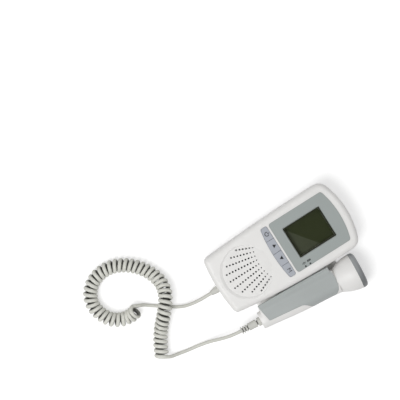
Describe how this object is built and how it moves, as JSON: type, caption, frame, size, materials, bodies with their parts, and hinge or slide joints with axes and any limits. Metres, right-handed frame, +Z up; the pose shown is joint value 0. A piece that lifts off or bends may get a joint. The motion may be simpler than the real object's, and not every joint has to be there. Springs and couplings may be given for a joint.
{
  "type": "fetal doppler monitor",
  "caption": "hand-held fetal doppler monitor with an LCD, keys and speaker grille, its probe docked in a side cradle and joined by a curly cord",
  "frame": {"origin": "on the flat back face of the main unit, on the panel's middle line, midway along the case", "axes": "+Z up out of the screen as the unit lies on its back, +Y to the screen end, +X to the docked probe"},
  "size_m": [0.146, 0.2485, 0.0339],
  "materials": {
    "white_case": "fine satin moulded",
    "panel_grey": "satin with a chamfered window edge",
    "clear_window": "clear, polished",
    "display_glass": "polished",
    "key_grey": "satin with printed symbols",
    "grip_grey": "soft satin",
    "face_grey": "satin",
    "cord_grey": "satin",
    "circuit_board": "solder mask",
    "black_plastic": "moulded",
    "steel": "nickel plated",
    "ceramic": "fired ceramic",
    "battery_sleeve": "plain printed sleeve"
  },
  "bodies": {
    "main_unit": {"rear_cover": "white_case", "front_cover": "white_case", "display_panel": "panel_grey", "lcd_window": "clear_window", "lcd_glass": "display_glass", "lcd_frame": "white_case", "backlight_panel": "display_glass", "status_lights": "clear_window", "key_domes": "steel", "main_board": "circuit_board", "board_chips": "black_plastic", "board_connectors": "black_plastic", "indicator_leds": "clear_window", "board_screws": "steel", "earphone_socket": "black_plastic", "charging_socket": "black_plastic", "speaker_gasket": "black_plastic", "speaker_basket": "steel", "speaker_cone": "black_plastic", "speaker_magnet": "steel", "battery_left": "battery_sleeve", "battery_right": "battery_sleeve", "battery_plates": "steel", "battery_springs": "steel", "case_screws": "steel", "cord_boot": "cord_grey", "cord_lead_unit": "cord_grey", "curly_cord": "cord_grey", "cord_lead_probe": "cord_grey"},
    "door": {"battery_door": "white_case"},
    "probe": {"probe_lower_shell": "white_case", "probe_grip_shell": "grip_grey", "probe_head": "white_case", "probe_face": "face_grey", "probe_crystals": "ceramic", "crystal_backing": "black_plastic", "probe_board": "circuit_board", "probe_screws": "steel", "probe_boot": "cord_grey"},
    "power_button": {"power_key": "key_grey"},
    "up_button": {"up_key": "key_grey"},
    "down_button": {"down_key": "key_grey"},
    "mode_button": {"mode_key": "key_grey"}
  },
  "joints": [
    {"name": "power_press", "type": "slide", "parent": "main_unit", "child": "power_button", "axis": [0, 0, -1], "range_m": [0, 0.0005], "stiffness_N_per_m": 600},
    {"name": "up_press", "type": "slide", "parent": "main_unit", "child": "up_button", "axis": [0, 0, -1], "range_m": [0, 0.0005], "stiffness_N_per_m": 600},
    {"name": "down_press", "type": "slide", "parent": "main_unit", "child": "down_button", "axis": [0, 0, -1], "range_m": [0, 0.0005], "stiffness_N_per_m": 600},
    {"name": "mode_press", "type": "slide", "parent": "main_unit", "child": "mode_button", "axis": [0, 0, -1], "range_m": [0, 0.0005], "stiffness_N_per_m": 600},
    {"name": "battery_door_slide", "type": "slide", "parent": "main_unit", "child": "door", "axis": [0, 1, 0], "range_m": [0, 0.06]},
    {"name": "probe_lift", "type": "slide", "parent": "main_unit", "child": "probe", "axis": [0, 0, 1], "range_m": [0, 0.035]}
  ]
}
